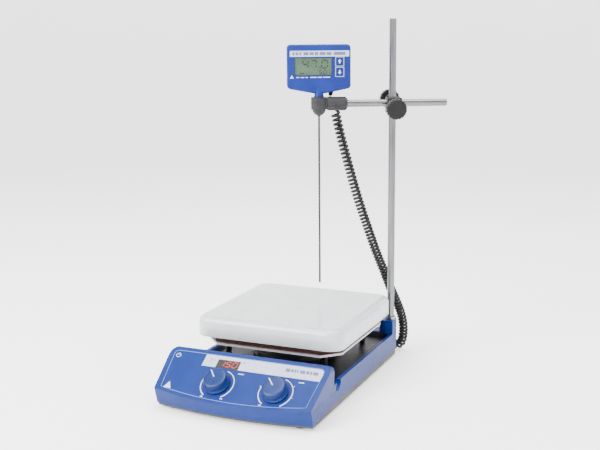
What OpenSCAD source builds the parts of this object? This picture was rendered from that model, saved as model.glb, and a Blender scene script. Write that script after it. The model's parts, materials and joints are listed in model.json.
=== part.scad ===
// Heating magnetic stirrer with support rod, boss head, clamp and contact thermometer.
// Origin: centre of the base's footprint on the table. +Z up, -Y towards the control panel.

/* [Base] */
// Width of the base over its side walls
base_w = 213; // [205:1:225]
// Depth of the base where it meets the table
base_d = 330; // [325:1:340]
// Sagitta of the bowed front edge
front_bow = 11; // [8:1:14]
// Radius of the two rear corners
rear_r = 14; // [10:1:18]
// How far each side leans out beside the panel
flare = 4.5; // [3:0.5:5]
// Reach of the chamfers at the crest's two ends
crest_r = 6.5; // [5:0.5:8]
// Height of the ridge that runs round the deck
ridge_z = 37; // [35:1:40]
// Height of the sunk deck
deck_z = 30; // [29:1:32]
// Height of the joint line between the housing and the lower shell
split_z = 12; // [11:1:12]
// Thickness of the moulded walls
wall = 3; // [2.5:0.5:3]

/* [Control panel] */
// Slope of the panel above the table, in degrees
panel_slope = 33.2; // [30:0.2:36]
// Height of the panel's lower corners
panel_low_z = 28.3; // [26:0.1:30]
// Height of the panel's top edge
panel_top_z = 64; // [60:1:66]
// Diameter of the two control knobs at their foot
knob_d = 33; // [30:1:36]
// Height of the two control knobs above the panel
knob_h = 13; // [10:1:15]
// Distance of the heat knob from the centre line
heat_knob_x = -25.5; // [-28:0.5:-22]
// Distance of the speed knob from the centre line
speed_knob_x = 53.5; // [50:0.5:56]
// Distance of both knobs up the panel from its lower corners
knob_up = 18.5; // [17:0.5:20]

/* [Heating plate] */
// Width and depth of the plate
plate_w = 208.5; // [200:0.5:212]
// Distance of the plate's centre behind the base's centre
plate_y = 39; // [36:1:42]
// Height of the plate's underside
plate_z = 68.5; // [66:0.5:70]
// Thickness of the plate
plate_h = 26.5; // [24:0.5:28]
// Radius of the plate's corners seen from above
plate_r = 21; // [18:1:24]

/* [Stand] */
// Diameter of the support rod and of the arm
rod_d = 10; // [10:0.5:10]
// Length of the support rod
rod_l = 450; // [440:5:460]
// Side distance of the support rod
rod_x = 99; // [98:0.5:99]
// Distance of the support rod behind the centre
rod_y = 149; // [148:0.5:150]
// Height of the arm's axis
arm_z = 367; // [300:1:400]
// Angle that the arm is swung round the rod
arm_swing = 26.6; // [0:0.2:30]
// Distance of the arm's axis in front of the rod's axis
arm_off = 14; // [13:0.5:15]
// Length of the arm
arm_l = 160; // [150:5:170]

/* [Thermometer] */
// Width of the thermometer's case
meter_w = 86.5; // [82:0.5:88]
// Depth of the thermometer's case
meter_d = 22; // [20:1:24]
// Height of the case above its lower side corners
meter_h = 60; // [58:1:62]
// Diameter of the probe
probe_d = 3; // [2.5:0.5:3]
// Length of the probe below the clamp
probe_l = 235; // [220:5:240]

/* [Cord] */
// Outer diameter of the curly cord's coil
coil_d = 14.6; // [14:0.2:15]
// Diameter of the cable
cable_d = 4.4; // [4:0.1:4.5]

/* [Hidden] */

fit = 0.05;
gap = 0.3;
foot_h = 3.5;
flare_z = 27;
half_w = base_w / 2;
back_y = base_d / 2;
front_y = -base_d / 2;
bow_r = (half_w * half_w + front_bow * front_bow) / (2 * front_bow);
// The front face leans out by this much for each millimetre of height.
front_lean = 8 / 28;
panel_y = -161.7;
rod_r = rod_d / 2;
rod_z = 31;
boss_z = 56;
nut_h = 4.6;
meter_x = -103;
meter_z = arm_z + 20;
meter_back = 6.5;
ring_low = arm_z - 7.6;
ring_high = arm_z + 9;
front_knob_z = arm_z - 7;
rear_knob_z = arm_z + 3;
notch_y = -77;
spindle_top = 50.5;
heat_z = 57;

// Curly cord: points of its route, from the rear plug up to the thermometer.
route_low = [
    [80.4, 177, 21.1], [84.5, 177.4, 19], [89, 178.6, 12.5], [95, 180, 8.8], [102, 181, 9.4],
    [106.5, 181, 15.5], [108, 181, 24.5], [108.5, 181, 34], [107.5, 180, 46], [104.5, 178, 60],
    [99.5, 174, 76], [94.5, 170, 90], [91, 166.5, 101], [88, 163, 112], [84, 159.5, 125]
];
route_long = [[84, 159.5, 125], [74, 153, 155], [66, 148, 182], [57, 143, 212], [49, 138, 242], [42, 133, 272]];
route_middle = [[42, 133, 272], [37.3, 130.5, 292], [32.5, 128, 312], [28.6, 126, 330]];
route_top = [[28.6, 126, 330], [26.5, 125, 340], [24.3, 123, 352]];
route_stub = [
    [24.3, 123, 352], [23.6, 121.5, 359], [22.8, 117.5, 365.5], [22.6, 112, 369.5],
    [23.2, 107.9, 372.6], [23.7, 105.9, 374.5], [23.8, 105.4, 376.2]
];

// ---- shared forms ----

// Rounded rectangle from (x0, y0) to (x1, y1).
module slab(x0, y0, x1, y1, r) {
    translate([x0 + r, y0]) square([x1 - x0 - 2 * r, y1 - y0]);
    translate([x0, y0 + r]) square([x1 - x0, y1 - y0 - 2 * r]);
    for (x = [x0 + r, x1 - r], y = [y0 + r, y1 - r])
        translate([x, y]) circle(r = r, $fn = 48);
}

// Centred rounded rectangle.
module tile(w, d, r) {
    slab(-w / 2, -d / 2, w / 2, d / 2, r);
}

// Upright block between two heights.
module prism(z0, z1) {
    translate([0, 0, z0]) linear_extrude(z1 - z0) children();
}

// Ring between two heights.
module ring(z0, z1, r_out, r_in) {
    translate([0, 0, z0]) difference() {
        cylinder(h = z1 - z0, r = r_out, $fn = 64);
        translate([0, 0, -1]) cylinder(h = z1 - z0 + 2, r = r_in, $fn = 64);
    }
}

// Places its children on the sloped panel: X across, Y up the slope, Z out of it.
module on_panel() {
    translate([0, panel_y, panel_low_z]) rotate([panel_slope, 0, 0]) children();
}

// Places its children at the stand: X along the arm, -Y towards the front, origin on the rod's axis.
module at_stand() {
    translate([rod_x, rod_y, 0]) rotate([0, 0, arm_swing]) children();
}

// Places its children on the arm's axis, with Z along the arm.
module along_arm() {
    at_stand() translate([0, -arm_off, arm_z]) rotate([0, 90, 0]) children();
}

// Places its children on the heating plate's centre line.
module at_plate() {
    translate([0, plate_y, 0]) children();
}

// Section of the base across its width: upright below, leaning out beside the panel, chamfered crest.
module cross_section(inset) {
    side = half_w - inset;
    wide = side + flare;
    top = panel_top_z - inset;
    polygon([
        [-side, 0], [side, 0], [side, flare_z], [wide, top - crest_r],
        [wide - crest_r / 7, top - crest_r / 3], [wide - crest_r / 2.4, top - crest_r / 9],
        [wide - crest_r, top + 0.2], [-wide + crest_r, top + 0.2], [-wide + crest_r / 2.4, top - crest_r / 9],
        [-wide + crest_r / 7, top - crest_r / 3], [-wide, top - crest_r], [-side, flare_z]
    ]);
}

// Plan of the base with every wall moved in, and its front leaning out as it rises.
module base_plan(inset, z0, z1) {
    side = half_w - inset;
    wide = side + flare;
    slant = flare / 41;
    intersection() {
        union() {
            prism(z0, z1) slab(-side, -92, side, back_y - inset, rear_r - inset);
            intersection() {
                prism(z0, z1) polygon([
                    [-side + 18 * slant, -42], [-wide, -101], [-wide, -190],
                    [wide, -190], [wide, -101], [side - 18 * slant, -42]
                ]);
                rotate([90, 0, 0]) translate([0, 0, -30]) linear_extrude(230) cross_section(inset);
            }
        }
        translate([0, front_y + bow_r, -5])
            cylinder(h = 95, r1 = bow_r - 5 * front_lean - inset, r2 = bow_r + 90 * front_lean - inset, $fn = 300);
    }
}

// Side view of the housing: fascia, sloped panel, its steep back and the ridge line.
module side_view(inset) {
    drop = inset / cos(panel_slope);
    rise = tan(panel_slope);
    crest_y = panel_y + (panel_top_z - inset - panel_low_z + drop) / rise;
    rotate([90, 0, 90]) translate([0, 0, -150]) linear_extrude(300) polygon([
        [-200, 0], [-200, panel_low_z - drop + (-200 - panel_y) * rise],
        [crest_y, panel_top_z - inset], [-101 - inset, panel_top_z - inset],
        [-93 - inset, ridge_z - inset], [base_d, ridge_z - inset], [base_d, 0]
    ]);
}

// Sunk deck with sloping edges, and the two spouts that drain it.
module deck_cut(grow) {
    low = deck_z - grow;
    high = ridge_z + 1;
    intersection() {
        rotate([90, 0, 0]) translate([0, 0, -200]) linear_extrude(400)
            polygon([[-94 - grow, low], [94 + grow, low], [103 + grow, high], [-103 - grow, high]]);
        rotate([90, 0, 90]) translate([0, 0, -150]) linear_extrude(300)
            polygon([[-90 - grow, low], [134 + grow, low], [143 + grow, high], [-94.6 - grow, high]]);
    }
    for (side = [-1, 1])
        translate([side * 84, notch_y, deck_z + 7]) rotate([0, side * 101, 0])
            cylinder(h = 40, r = 8 + grow, $fn = 48);
}

// Corner post that carries the support rod.
module rod_post(inset, top) {
    intersection() {
        base_plan(inset, 0, top);
        union() {
            translate([rod_x - 2, rod_y + 2, 0]) cylinder(h = top, r = 15 - inset, $fn = 48);
            translate([rod_x - 2, rod_y - 13 + inset, 0]) cube([40, 40, top]);
            translate([rod_x - 17 + inset, rod_y + 2, 0]) cube([40, 40, top]);
        }
    }
}

// Body of the housing with every face moved in.
module housing_form(inset) {
    difference() {
        intersection() {
            base_plan(inset, 0, 80);
            side_view(inset);
        }
        deck_cut(inset);
    }
}

// Outline of the thermometer's case, seen from the front, with every side moved in.
module meter_outline(inset) {
    r = 5 - min(inset, 3);
    half = meter_w / 2 - inset - r;
    hull() {
        for (side = [-1, 1]) {
            translate([side * half, meter_h - inset - r]) circle(r = r, $fn = 32);
            translate([side * half, inset + r]) circle(r = r, $fn = 32);
            translate([side * 7, -6 + inset + r]) circle(r = r, $fn = 32);
        }
    }
}

// Places its children in the thermometer: X across, Y up, Z towards the front.
module at_meter() {
    at_stand() translate([meter_x, meter_back - arm_off, meter_z]) rotate([90, 0, 0]) children();
}

// Tapered socket that joins the case to its neck.
module neck_cone(grow) {
    cylinder(h = 14.4, r1 = 6.9 + grow, r2 = 3.9 + grow, $fn = 64);
}

// Tube swept along a list of points.
module sweep(points, d, sides) {
    last = len(points) - 1;
    function way(i) = points[min(i + 1, last)] - points[max(i - 1, 0)];
    function side(v) = cross(v, [0, 1, 0]) / norm(cross(v, [0, 1, 0]));
    function spot(i, k) =
        let (v = way(i) / norm(way(i)), s = side(v), t = cross(v, s), a = 360 * k / sides)
        points[i] + d / 2 * (cos(a) * s + sin(a) * t);
    polyhedron(
        points = [for (i = [0:last], k = [0:sides - 1]) spot(i, k)],
        faces = concat(
            [[for (k = [sides - 1:-1:0]) k]],
            [[for (k = [0:sides - 1]) last * sides + k]],
            [for (i = [0:last - 1], k = [0:sides - 1])
                [i * sides + k, i * sides + (k + 1) % sides, (i + 1) * sides + k]],
            [for (i = [0:last - 1], k = [0:sides - 1])
                [i * sides + (k + 1) % sides, (i + 1) * sides + (k + 1) % sides, (i + 1) * sides + k]]
        )
    );
}

// Route with a short piece taken off both of its ends.
function trimmed(p, cut) =
    let (n = len(p) - 1, a = p[1] - p[0], b = p[n - 1] - p[n])
    [for (i = [0:n]) i == 0 ? p[0] + cut * a / norm(a) : i == n ? p[n] + cut * b / norm(b) : p[i]];

// ---- base ----

module split_side(z_front, z_back) {
    rotate([90, 0, 90]) translate([0, 0, -150]) linear_extrude(300)
        polygon([[-200, -9], [-200, z_front], [-150, z_front], [-95, z_back], [200, z_back], [200, -9]]);
}

module lower_shell() {
    color("dimgray") difference() {
        intersection() {
            base_plan(1.2, foot_h, 30);
            split_side(7, split_z);
        }
        base_plan(1.2 + wall, foot_h + wall, 40);
        for (x = [-92, 92], y = [-128, 20, 135])
            translate([x, y, 0]) cylinder(h = 10, r = 2.3, $fn = 32);
        for (i = [-6:6])
            translate([i * 7, plate_y - 50, 0]) cube([3, 30, 10]);
    }
    color("dimgray") at_plate() ring(foot_h + wall, 12, 13, 9.55);
}

module feet() {
    color("black") for (x = [-86, 86], y = [-143, 148])
        translate([x, y, 0]) {
            cylinder(h = foot_h - 1, r1 = 8.5, r2 = 9.5, $fn = 48);
            translate([0, 0, foot_h - 1]) cylinder(h = 1, r = 9.5, $fn = 48);
        }
}

module bottom_screws() {
    color("silver") for (x = [-92, 92], y = [-128, 20, 135])
        translate([x, y, 0]) difference() {
            union() {
                translate([0, 0, 1.6]) cylinder(h = foot_h - 1.6, r = 3.4, $fn = 32);
                translate([0, 0, foot_h]) cylinder(h = 11.5, r = 1.9, $fn = 32);
            }
            for (turn = [0, 90])
                rotate([0, 0, turn]) translate([-2, -0.4, 1]) cube([4, 0.8, 1.6]);
        }
}

module rating_plate() {
    color("silver") prism(foot_h - 0.4, foot_h) translate([0, -80]) tile(70, 40, 2);
}

module housing() {
    color("royalblue") difference() {
        union() {
            housing_form(0);
            rod_post(0, boss_z);
        }
        difference() {
            housing_form(wall);
            for (x = [-92, 92], y = [-128, 20, 135])
                translate([x, y, 0]) cylinder(h = 80, r = 4.5, $fn = 32);
            rod_post(0, boss_z);
        }
        split_side(7, split_z);
        for (x = [-92, 92], y = [-128, 20, 135])
            translate([x, y, 0]) cylinder(h = 17, r = 1.95, $fn = 32);
        on_panel() {
            panel_shape(0, -0.8, 3);
            for (x = [heat_knob_x, speed_knob_x])
                translate([x, knob_up, -10]) cylinder(h = 20, r = 4.5, $fn = 40);
            translate([-39.2, 43, -10]) cube([31.4, 13, 20]);
        }
        translate([rod_x, rod_y, rod_z - 1]) cylinder(h = 60, r = rod_r + fit, $fn = 64);
        at_plate() translate([0, 0, 20]) cylinder(h = 20, r = 42, $fn = 96);
        rear_hole(-60) tile(27.4, 19.9, 3);
        rear_hole(-24) circle(r = 6.6, $fn = 48);
        rear_hole(58) circle(r = 8.1, $fn = 48);
        translate([-half_w - 1, -117.7, 13.6]) cube([10, 19.4, 12]);
    }
}

// Opening through the rear wall at a distance from the centre line.
module rear_hole(x) {
    translate([x, back_y + 1, 23.5]) rotate([90, 0, 0]) linear_extrude(8) children();
}

// Sheet on the panel, with its lower edge bowed like the front; the inset makes it smaller.
module panel_shape(inset, z0, z1) {
    lean = atan(0.09);
    turn = 6 - inset;
    corner = 98;
    intersection() {
        prism(z0, z1) {
            polygon([
                [-corner - turn + 7.8, -30], [corner + turn - 7.8, -30],
                [corner + turn * cos(lean), 56 - turn * sin(lean)], [corner, 62 - inset],
                [-corner, 62 - inset], [-corner - turn * cos(lean), 56 - turn * sin(lean)]
            ]);
            for (side = [-1, 1])
                translate([side * corner, 56]) circle(r = turn, $fn = 48);
        }
        rotate([-panel_slope, 0, 0]) translate([0, -panel_y + front_y + bow_r, -panel_low_z])
            cylinder(h = 90, r1 = bow_r - 5 - inset, r2 = bow_r + 90 * front_lean - 5 - inset, $fn = 300);
    }
}

module panel_overlay() {
    color("royalblue") on_panel() difference() {
        panel_shape(0.2, -0.8, -0.2);
        for (x = [heat_knob_x, speed_knob_x])
            translate([x, knob_up, -2]) cylinder(h = 4, r = 5, $fn = 40);
        translate([-39, 43.2, -2]) cube([31, 12.6, 4]);
    }
}

module display_window() {
    color("black") on_panel() translate([-38.8, 43.4, -2.8]) cube([30.6, 12.2, 2.7]);
}

module display_module() {
    color("dimgray") on_panel() {
        translate([-38, 43.8, -9]) cube([29, 11.4, 6.2]);
    }
}

module control_board() {
    color("darkgreen") on_panel() difference() {
        translate([-60, 4, -13.6]) cube([144, 52, 1.6]);
        for (x = [heat_knob_x, speed_knob_x])
            translate([x, knob_up, -20]) cylinder(h = 20, r = 3.4, $fn = 32);
    }
    color("dimgray") on_panel() {
        translate([-38, 43.8, -12]) cube([29, 11.4, 2.9]);
        translate([5, 38, -12]) cube([16, 12, 2.5]);
        translate([-58, 8, -12]) cube([8, 20, 6]);
    }
}

module potentiometer(x) {
    on_panel() translate([x, knob_up, 0]) difference() {
        union() {
            translate([0, 0, -12]) cylinder(h = 8.6, r = 8.4, $fn = 48);
            translate([0, 0, -3.5]) cylinder(h = 2.6, r = 4.4, $fn = 48);
        }
        translate([0, 0, -11]) cylinder(h = 12, r = 3 + fit, $fn = 48);
    }
}

module heat_potentiometer() {
    color("slategray") potentiometer(heat_knob_x);
}

module speed_potentiometer() {
    color("slategray") potentiometer(speed_knob_x);
}

module power_board() {
    color("darkgreen") translate([-84, 90, 9]) cube([110, 56, 1.6]);
    color("dimgray") {
        translate([-80, 94, 10.6]) cube([28, 24, 13]);
        translate([-44, 96, 10.6]) cube([16, 12, 11]);
        translate([6, 98, 10.6]) cube([14, 20, 12]);
        for (x = [-38, -24]) translate([x, 126, 10.6]) cylinder(h = 14, r = 5.5, $fn = 40);
    }
    color("silver") for (x = [-80, 22], y = [94, 142])
        translate([x, y, foot_h + wall]) cylinder(h = 2.5, r = 2.4, $fn = 32);
}

module mains_inlet() {
    color("black") translate([-60, back_y + 2, 23.5]) rotate([90, 0, 0]) difference() {
        union() {
            linear_extrude(1.9) tile(31, 21.6, 3);
            linear_extrude(20) tile(27, 19.6, 3);
        }
        translate([0, 0, -1]) linear_extrude(16) tile(23, 15.6, 2.4);
    }
    color("silver") translate([-60, back_y + 2, 23.5])
        for (p = [[-7, -2], [0, 2], [7, -2]])
            translate([p[0] - 1, -17, p[1] - 2]) cube([2, 11, 4]);
}

module fuse_cap() {
    color("black") translate([-24, back_y, 23.5]) rotate([-90, 0, 0]) difference() {
        union() {
            translate([0, 0, -18]) cylinder(h = 18, r = 6.4, $fn = 48);
            translate([0, 0, 0.1]) cylinder(h = 5, r1 = 7.6, r2 = 6.8, $fn = 48);
        }
        translate([-5, -0.7, 3.6]) cube([10, 1.4, 3]);
    }
}

module sensor_socket() {
    color("silver") translate([58, back_y, 23.5]) rotate([-90, 0, 0]) difference() {
        union() {
            translate([0, 0, -12]) cylinder(h = 12, r = 7.9, $fn = 64);
            translate([0, 0, 0.1]) cylinder(h = 1.6, r = 9.4, $fn = 64);
        }
        translate([0, 0, -9]) cylinder(h = 20, r = 6.6, $fn = 64);
    }
}

// Rocker switch in the left side wall.
module at_switch() {
    translate([-half_w, -108, 19.6]) rotate([0, -90, 0]) rotate([0, 0, 90]) children();
}

module switch_frame() {
    color("black") at_switch() difference() {
        union() {
            prism(0.05, 1.8) tile(22, 13.6, 2);
            prism(-8, 0.1) tile(19, 11.6, 1);
        }
        prism(-6.5, 4) tile(16.6, 9.6, 0.6);
    }
}

module switch_rocker() {
    color("black") at_switch() intersection() {
        prism(-4, 4) tile(15.6, 9, 0.4);
        rotate([90, 0, 0]) translate([0, 0, -6]) linear_extrude(12)
            polygon([[-7.8, 2.7], [0, 1.6], [7.8, 0.4], [7.8, -0.6], [1.6, -3.6], [-1.6, -3.6], [-7.8, -1.2]]);
    }
}

// ---- control knobs ----

module knob(x) {
    on_panel() translate([x, knob_up, 0]) difference() {
        union() {
            translate([0, 0, 0.6]) cylinder(h = 2, r = knob_d / 2, $fn = 96);
            translate([0, 0, 2.6]) cylinder(h = knob_h - 3.6, r1 = knob_d / 2, r2 = knob_d / 2 - 2, $fn = 96);
            translate([0, 0, knob_h - 1]) cylinder(h = 1, r1 = knob_d / 2 - 2, r2 = knob_d / 2 - 3, $fn = 96);
        }
        translate([0, 0, -1]) cylinder(h = knob_h - 2.5, r = 3, $fn = 48);
        difference() {
            translate([0, 0, 0]) cylinder(h = 6, r = knob_d / 2 - 2.5, $fn = 96);
            cylinder(h = 7, r = 5.5, $fn = 48);
        }
    }
}

module knob_shaft(x) {
    on_panel() translate([x, knob_up, -9]) cylinder(h = knob_h + 5.4, r = 3, $fn = 48);
}

module heat_knob() {
    color("steelblue") knob(heat_knob_x);
}

module heat_shaft() {
    color("silver") knob_shaft(heat_knob_x);
}

module speed_knob() {
    color("steelblue") knob(speed_knob_x);
}

module speed_shaft() {
    color("silver") knob_shaft(speed_knob_x);
}

// ---- heating stack ----

module plate_corner(high) {
    rotate_extrude($fn = 64) polygon([
        [0, 0], [plate_r - 1, 0], [plate_r, 1], [plate_r - 1, high - 9], [plate_r - 1.8, high - 5.5],
        [plate_r - 3.6, high - 2.6], [plate_r - 6.4, high - 0.7], [plate_r - 10, high], [0, high]
    ]);
}

module heating_plate() {
    reach = plate_w / 2 - plate_r;
    color("gainsboro") difference() {
        at_plate() translate([0, 0, plate_z]) hull()
            for (x = [-reach, reach], y = [-reach, reach])
                translate([x, y, 0]) plate_corner(plate_h);
        at_plate() prism(plate_z - 1, plate_z + 18) tile(plate_w - 12, plate_w - 12, plate_r - 6);
    }
}

module heater_element() {
    color("darkorange") at_plate() prism(plate_z + 14.5, plate_z + 18) difference() {
        tile(170, 170, 12);
        circle(r = 8, $fn = 48);
    }
}

module insulation() {
    color("maroon") at_plate() difference() {
        prism(heat_z + 1, plate_z + 14.5) tile(176, 176, 20);
        prism(0, 100) circle(r = 8, $fn = 48);
    }
}

module heat_shield() {
    half = 96;
    cut = 22;
    shape = [[-half, -half + cut], [-half + cut, -half], [half - cut, -half], [half, -half + cut],
             [half, half - cut], [half - cut, half], [-half + cut, half], [-half, half - cut]];
    color("silver") at_plate() difference() {
        prism(heat_z - 0.2, heat_z + 2.6) polygon(shape);
        prism(heat_z + 1, heat_z + 9) scale((half - 1) / half) polygon(shape);
        for (x = [-70, 70], y = [-70, 70])
            translate([x, y, 40]) cylinder(h = 30, r = 2.1, $fn = 32);
    }
}

module standoffs() {
    color("silver") at_plate() for (x = [-70, 70], y = [-70, 70])
        translate([x, y, 0]) {
            translate([0, 0, deck_z]) cylinder(h = heat_z - 0.2 - deck_z, r = 4, $fn = 40);
            translate([0, 0, heat_z - 1]) cylinder(h = 1.9, r = 2, $fn = 32);
        }
}

module plate_sensor() {
    color("silver") at_plate() translate([0, 0, heat_z + 4]) {
        cylinder(h = plate_z + 18 - heat_z - 4, r = 3, $fn = 40);
        cylinder(h = 6, r = 5, $fn = 40);
    }
}

// ---- magnetic drive ----

module motor_dome() {
    color("black") at_plate() difference() {
        union() {
            translate([0, 0, deck_z]) cylinder(h = 2, r = 62, $fn = 128);
            translate([0, 0, deck_z + 2]) cylinder(h = 21.6, r1 = 57, r2 = 52, $fn = 128);
            translate([0, 0, deck_z + 23.6]) cylinder(h = 2, r1 = 52, r2 = 50, $fn = 128);
        }
        translate([0, 0, deck_z - 1]) cylinder(h = 24.6, r = 49, $fn = 128);
    }
}

module motor_bracket() {
    color("silver") at_plate() difference() {
        union() {
            ring(deck_z - wall - 2.5, deck_z - wall, 60, 11);
            ring(deck_z - wall - 2.5, deck_z + 0.6, 13, 9.55);
        }
        for (turn = [0:60:300])
            rotate([0, 0, turn]) translate([32, 0, 0]) cylinder(h = 60, r = 8, $fn = 40);
    }
}

module motor_stator() {
    color("peru") at_plate() difference() {
        ring(13, 24, 36, 18.6);
        for (turn = [0:30:330])
            rotate([0, 0, turn]) translate([23, -1.4, 12]) cube([9, 2.8, 20]);
    }
}

module bearings() {
    color("silver") at_plate() {
        ring(foot_h + wall + 0.1, 11.5, 9.5, 3 + fit);
        ring(deck_z - 5, deck_z, 9.5, 3 + fit);
    }
}

module motor_shaft() {
    color("silver") at_plate() translate([0, 0, 7]) cylinder(h = spindle_top - 7, r = 3, $fn = 48);
}

module motor_rotor() {
    color("gray") at_plate() ring(13, 24, 17.8, 3);
}

module cooling_fan() {
    color("darkslategray") at_plate() {
        ring(deck_z + 2, deck_z + 10, 9, 3);
        for (turn = [0:30:330])
            rotate([0, 0, turn]) translate([8.6, -0.6, deck_z + 3]) rotate([35, 0, 0]) cube([32, 1.2, 6]);
    }
}

module magnet_carrier() {
    color("silver") at_plate() difference() {
        ring(deck_z + 13, deck_z + 18, 44, 3);
        for (side = [-1, 1])
            translate([side * 27 - 10, -8, deck_z + 15]) cube([20, 16, 9]);
    }
}

module drive_magnets() {
    color("dimgray") at_plate() for (side = [-1, 1])
        translate([side * 27 - 10, -8, deck_z + 15]) cube([20, 16, 6.6]);
}

// ---- stand ----

module rod_nut() {
    color("silver") translate([rod_x, rod_y, boss_z]) difference() {
        intersection() {
            cylinder(h = nut_h, r = 7.2, $fn = 64);
            translate([0, 0, -1]) cylinder(h = nut_h + 1, r1 = 11, r2 = 7, $fn = 64);
            translate([-8, -6.5, 0]) cube([16, 13, nut_h]);
        }
        translate([0, 0, -1]) cylinder(h = nut_h + 2, r = rod_r + fit, $fn = 64);
    }
}

module support_rod() {
    color("silver") translate([rod_x, rod_y, rod_z]) {
        cylinder(h = rod_l - 0.8, r = rod_r, $fn = 64);
        translate([0, 0, rod_l - 0.8]) cylinder(h = 0.8, r1 = rod_r, r2 = rod_r - 0.8, $fn = 64);
    }
}

module boss_head() {
    color("darkslategray") at_stand() difference() {
        union() {
            translate([0, 0, arm_z - 14]) cylinder(h = 21.5, r = 9.5, $fn = 64);
            translate([-10, -arm_off - 9, arm_z - 13]) cube([20, arm_off + 9, 20]);
            translate([0, -arm_off - 12, front_knob_z]) rotate([-90, 0, 0]) cylinder(h = 14, r = 8, $fn = 48);
            translate([0, 4, rear_knob_z]) rotate([-90, 0, 0]) cylinder(h = 11, r = 8, $fn = 48);
        }
        cylinder(h = 500, r = rod_r + fit, $fn = 64);
        translate([-30, -arm_off, arm_z]) rotate([0, 90, 0]) cylinder(h = 60, r = rod_r + fit, $fn = 64);
        translate([0, -40, front_knob_z]) rotate([-90, 0, 0]) cylinder(h = 40 - arm_off - 2, r = 3 + fit, $fn = 48);
        translate([0, 2, rear_knob_z]) rotate([-90, 0, 0]) cylinder(h = 40, r = 3 + fit, $fn = 48);
    }
}

// Thumb screw: knurled head from z = 0 outwards, shank behind it.
module thumb_screw(shank) {
    difference() {
        union() {
            translate([0, 0, 1]) cylinder(h = 10, r = 14, $fn = 64);
            cylinder(h = 1, r1 = 12.6, r2 = 14, $fn = 64);
            translate([0, 0, 11]) cylinder(h = 1.4, r1 = 14, r2 = 12.4, $fn = 64);
        }
        for (turn = [0:20:340])
            rotate([0, 0, turn]) translate([15, 0, -1]) cylinder(h = 16, r = 1.7, $fn = 24);
    }
    translate([0, 0, -6]) cylinder(h = 6, r = 5.5, $fn = 48);
    translate([0, 0, -shank]) cylinder(h = shank - 6, r = 3, $fn = 48);
}

module boss_front_screw() {
    color("black") at_stand() translate([0, -arm_off - 18.4, front_knob_z]) rotate([90, 0, 0]) thumb_screw(13.6);
}

module boss_rear_screw() {
    color("black") at_stand() translate([0, 21.4, rear_knob_z]) rotate([-90, 0, 0]) thumb_screw(16);
}

module arm_rod() {
    color("silver") along_arm() translate([0, 0, 73 - arm_l]) {
        cylinder(h = arm_l - 0.8, r = rod_r, $fn = 64);
        translate([0, 0, arm_l - 0.8]) cylinder(h = 0.8, r1 = rod_r, r2 = rod_r - 0.8, $fn = 64);
    }
}

module clamp_body() {
    color("darkslategray") at_stand() difference() {
        union() {
            translate([meter_x, -arm_off, ring_low]) cylinder(h = ring_high - ring_low, r = 11, $fn = 64);
            translate([meter_x, -arm_off, ring_low]) rotate_extrude($fn = 64)
                polygon([[0, 0], [9.4, 0], [8.6, -3], [6.2, -6.4], [2.4, -9], [0, -9]]);
            translate([meter_x, -arm_off - 7, ring_low + 0.6]) cube([-91.8 - meter_x, 14, ring_high - ring_low - 1.8]);
            translate([-95, -arm_off, arm_z]) rotate([0, 90, 0]) cylinder(h = 11, r = 7, $fn = 64);
        }
        translate([meter_x, -arm_off, ring_low + 1]) cylinder(h = 30, r = 6 + fit, $fn = 64);
        translate([meter_x, -arm_off, ring_low - 12]) cylinder(h = 30, r = probe_d / 2 + fit, $fn = 48);
        translate([-90, -arm_off, arm_z]) rotate([0, 90, 0]) cylinder(h = 30, r = rod_r + fit, $fn = 64);
    }
}

module clamp_nut() {
    color("darkslategray") along_arm() translate([0, 0, -91.5]) difference() {
        union() {
            cylinder(h = 24.5, r = 9.4, $fn = 64);
            translate([0, 0, 24.5]) cylinder(h = 2.6, r1 = 9.4, r2 = 7.4, $fn = 64);
        }
        translate([0, 0, -1]) cylinder(h = 40, r = rod_r + fit, $fn = 64);
        translate([0, 0, -1]) cylinder(h = 9, r = 7.1, $fn = 64);
        for (turn = [0:24:336])
            rotate([0, 0, turn]) translate([10, 0, -1]) cylinder(h = 26.5, r = 1.1, $fn = 24);
    }
}

// ---- contact thermometer ----

module meter_front() {
    color("royalblue") at_meter() difference() {
        hull() {
            linear_extrude(meter_d / 2 - 1.6) meter_outline(0);
            linear_extrude(meter_d / 2) meter_outline(1.6);
        }
        translate([0, 0, -1]) linear_extrude(meter_d / 2 - 1) meter_outline(2);
        translate([-33.4, 18.4, 0]) cube([51, 23.8, 30]);
        for (z = [22.9, 36.9])
            translate([28.1 - 4.8, z - 5.3, 0]) cube([9.6, 10.6, 30]);
        translate([0, ring_high + 0.6 - meter_z, meter_back]) rotate([-90, 0, 0]) neck_cone(fit);
    }
}

module meter_back() {
    color("royalblue") at_meter() mirror([0, 0, 1]) difference() {
        hull() {
            linear_extrude(meter_d / 2 - 1.6) meter_outline(0);
            linear_extrude(meter_d / 2) meter_outline(1.6);
        }
        translate([0, 0, -1]) linear_extrude(meter_d / 2 - 1) meter_outline(2);
        mirror([0, 0, 1]) translate([0, ring_high + 0.6 - meter_z, meter_back]) rotate([-90, 0, 0]) neck_cone(fit);
    }
}

module meter_window() {
    color("lightgray") at_meter() translate([-33.2, 18.6, meter_d / 2 - 2]) cube([50.6, 23.4, 0.8]);
}

module meter_lcd() {
    color("darkseagreen") at_meter() translate([-33, 18.8, meter_d / 2 - 5.2]) cube([50.2, 23, 3.1]);
}

module meter_board() {
    color("darkgreen") at_meter() translate([-38, 6, meter_d / 2 - 7]) cube([76, 44, 1.6]);
    color("dimgray") at_meter() {
        for (z = [22.9, 36.9])
            translate([28.1 - 3, z - 3, meter_d / 2 - 5.4]) cube([6, 6, 1.6]);
        translate([-20, 10, meter_d / 2 - 11]) cube([30, 26, 4]);
    }
}

module key(z) {
    at_meter() {
        translate([28.1 - 4.5, z - 5, meter_d / 2 - 2.6]) cube([9, 10, 2.9]);
        translate([28.1 - 5.4, z - 5.9, meter_d / 2 - 2.9]) cube([10.8, 11.8, 0.7]);
    }
}

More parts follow.
